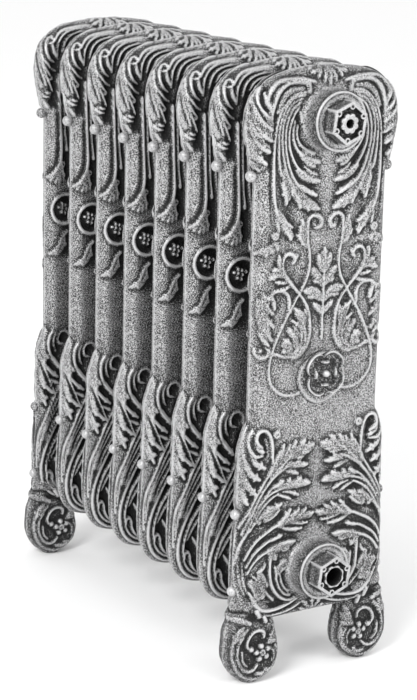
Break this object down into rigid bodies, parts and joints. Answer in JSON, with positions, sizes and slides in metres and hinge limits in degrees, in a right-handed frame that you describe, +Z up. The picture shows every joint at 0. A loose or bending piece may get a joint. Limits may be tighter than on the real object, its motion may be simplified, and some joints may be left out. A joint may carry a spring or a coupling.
{
  "type": "cast iron radiator",
  "caption": "Free-standing ornamental cast iron radiator: hollow sections joined by threaded nipples, end sections with cast feet, reducing bushes and a bleed vent.",
  "frame": {"origin": "on the floor, at mid length and mid depth of the stack", "axes": "+X along the stack towards the front leg section, Y through the depth, +Z up"},
  "size_m": [0.659, 0.243, 0.7735],
  "materials": {
    "casting": "burnished, dark in the recesses",
    "bush_iron": "burnished, dark in the recesses",
    "nipple_iron": "as cast",
    "gasket": "matte",
    "vent_brass": "satin",
    "vent_seat_rubber": "matte"
  },
  "bodies": {
    "radiator": {"leg_section_rear": "casting", "section_2": "casting", "section_3": "casting", "section_4": "casting", "section_5": "casting", "section_6": "casting", "section_7": "casting", "leg_section_front": "casting", "nipple_top_1": "nipple_iron", "nipple_top_2": "nipple_iron", "nipple_top_3": "nipple_iron", "nipple_top_4": "nipple_iron", "nipple_top_5": "nipple_iron", "nipple_top_6": "nipple_iron", "nipple_top_7": "nipple_iron", "nipple_bottom_1": "nipple_iron", "nipple_bottom_2": "nipple_iron", "nipple_bottom_3": "nipple_iron", "nipple_bottom_4": "nipple_iron", "nipple_bottom_5": "nipple_iron", "nipple_bottom_6": "nipple_iron", "nipple_bottom_7": "nipple_iron", "gasket_top_1": "gasket", "gasket_top_2": "gasket", "gasket_top_3": "gasket", "gasket_top_4": "gasket", "gasket_top_5": "gasket", "gasket_top_6": "gasket", "gasket_top_7": "gasket", "gasket_bottom_1": "gasket", "gasket_bottom_2": "gasket", "gasket_bottom_3": "gasket", "gasket_bottom_4": "gasket", "gasket_bottom_5": "gasket", "gasket_bottom_6": "gasket", "gasket_bottom_7": "gasket", "bush_front_top": "bush_iron", "bush_front_bottom": "bush_iron", "bush_rear_top": "bush_iron", "bush_rear_bottom": "bush_iron", "gasket_bush_front_top": "gasket", "gasket_bush_front_bottom": "gasket", "gasket_bush_rear_top": "gasket", "gasket_bush_rear_bottom": "gasket", "vent_body": "vent_brass"},
    "vent_seat": {"vent_seat": "vent_seat_rubber"},
    "vent_screw": {"vent_screw": "vent_brass"}
  },
  "joints": [
    {"name": "vent_draw", "type": "slide", "parent": "radiator", "child": "vent_seat", "axis": [-1, 0, 0], "range_m": [0, 0.001]},
    {"name": "vent_turn", "type": "hinge", "parent": "vent_seat", "child": "vent_screw", "pos_m": [-0.3255, 0, 0.7115], "axis": [-1, 0, 0], "range_deg": [0, 361]}
  ],
  "couplings": [
    {"joint": "vent_turn", "follows": "vent_draw", "rad_per_m": 6283.2}
  ]
}
